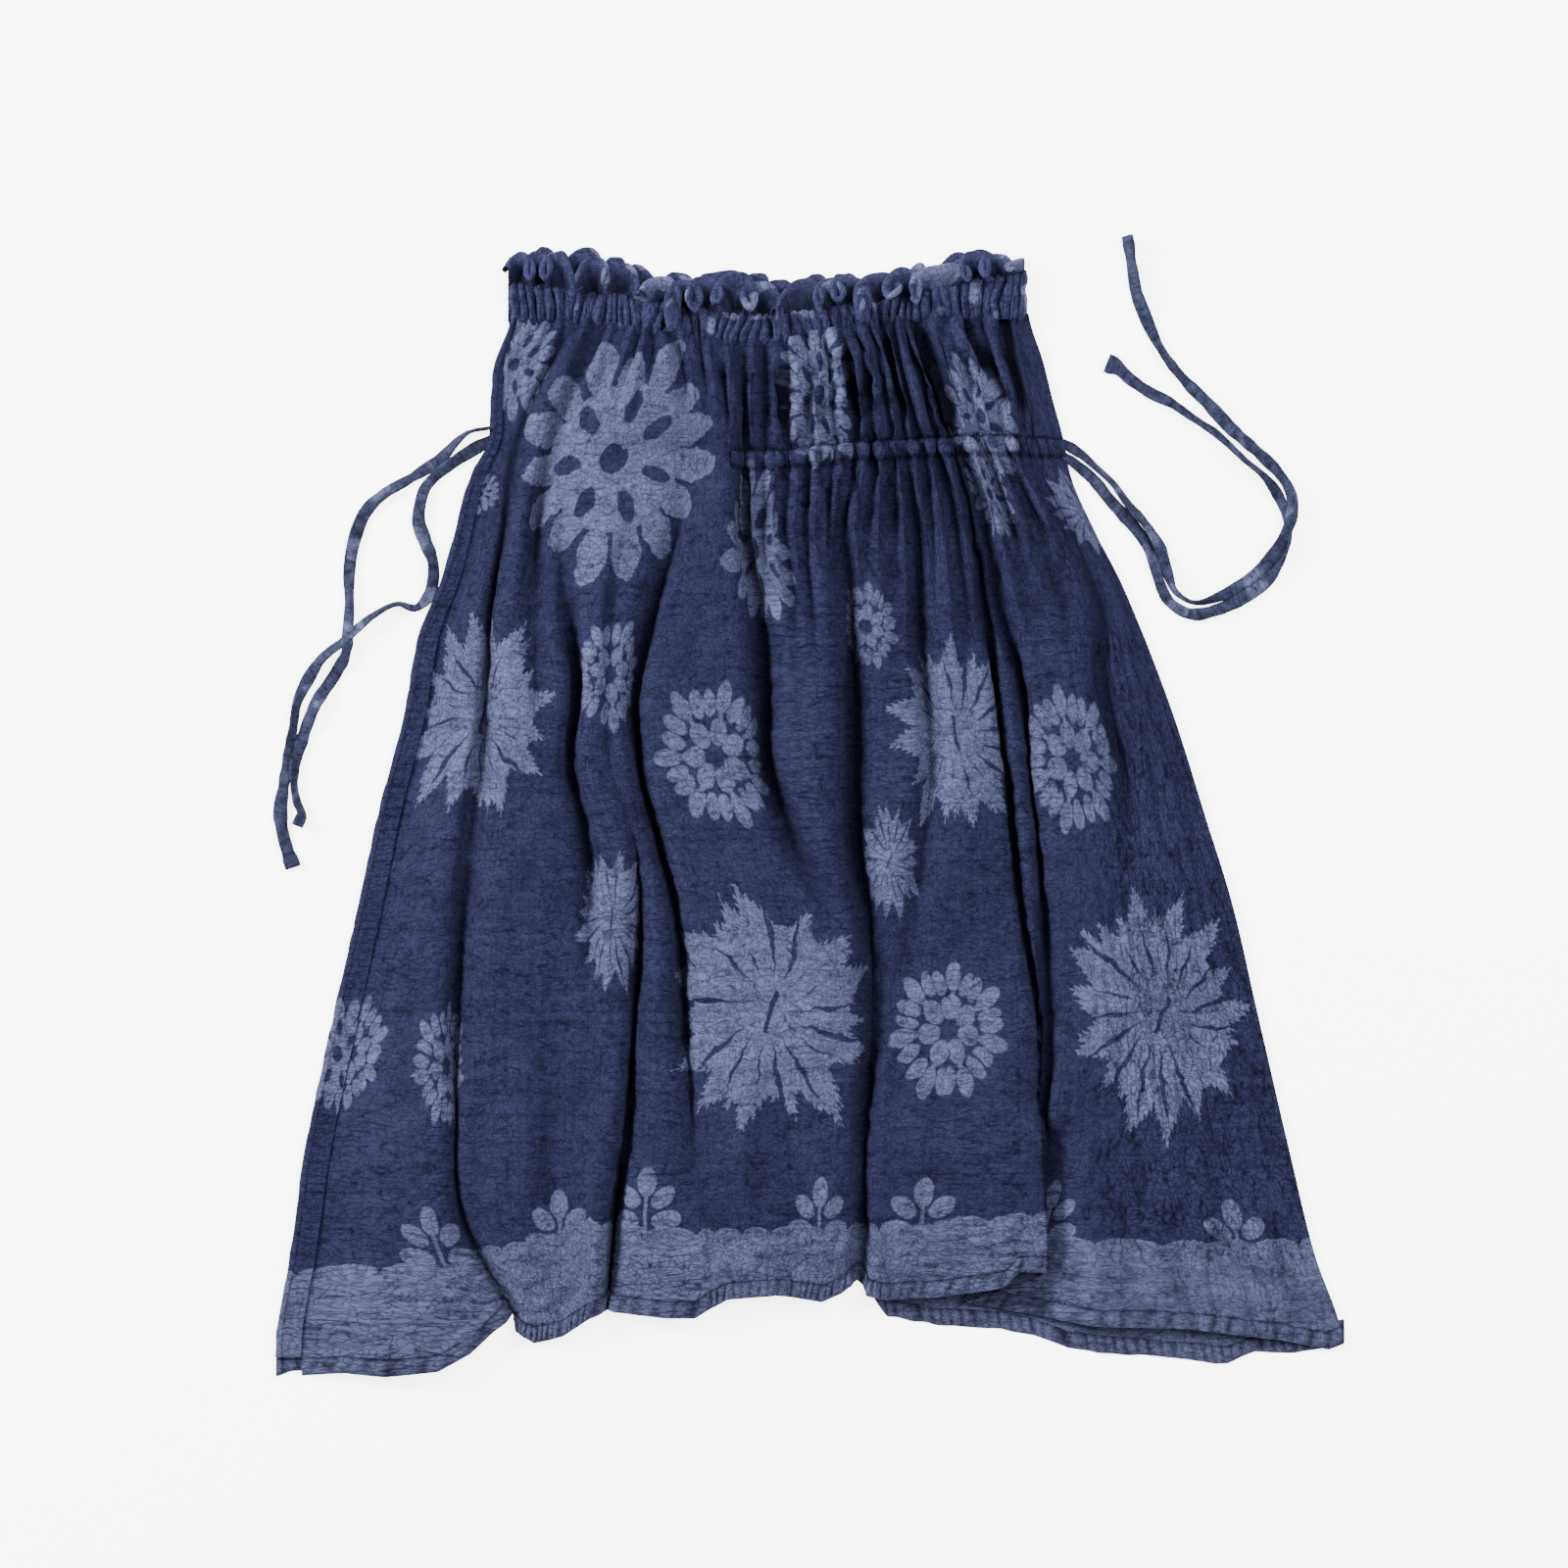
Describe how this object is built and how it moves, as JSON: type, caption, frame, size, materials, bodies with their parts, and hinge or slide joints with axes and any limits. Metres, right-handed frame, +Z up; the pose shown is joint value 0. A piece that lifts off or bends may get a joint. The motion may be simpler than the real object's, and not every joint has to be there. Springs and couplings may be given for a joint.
{
  "type": "midi skirt",
  "caption": "Crinkled indigo cotton midi skirt laid flat, with a shirred ruffled waist, a gathered hip channel and loose drawstring ends.",
  "frame": {"origin": "centre of the laid skirt's outline without its tie ends, on the surface that it rests on", "axes": "+X to the viewer's right across the skirt, +Y from the hem to the waist, +Z up from the surface"},
  "size_m": [0.7404, 0.7903, 0.0204],
  "materials": {
    "crepe": "matte crinkled",
    "casing": "matte shirred",
    "hem": "matte puckered",
    "tie": "matte crinkled"
  },
  "bodies": {
    "root": {"front_panel": "crepe", "back_panel": "crepe", "hip_channel": "crepe", "front_casing": "casing", "back_casing": "casing", "front_ruffle": "casing", "back_ruffle": "casing", "front_hem": "hem", "back_hem": "hem", "tie_left_outer": "tie", "tie_left_inner": "tie", "tie_right_upper": "tie", "tie_right_lower": "tie"}
  },
  "joints": []
}
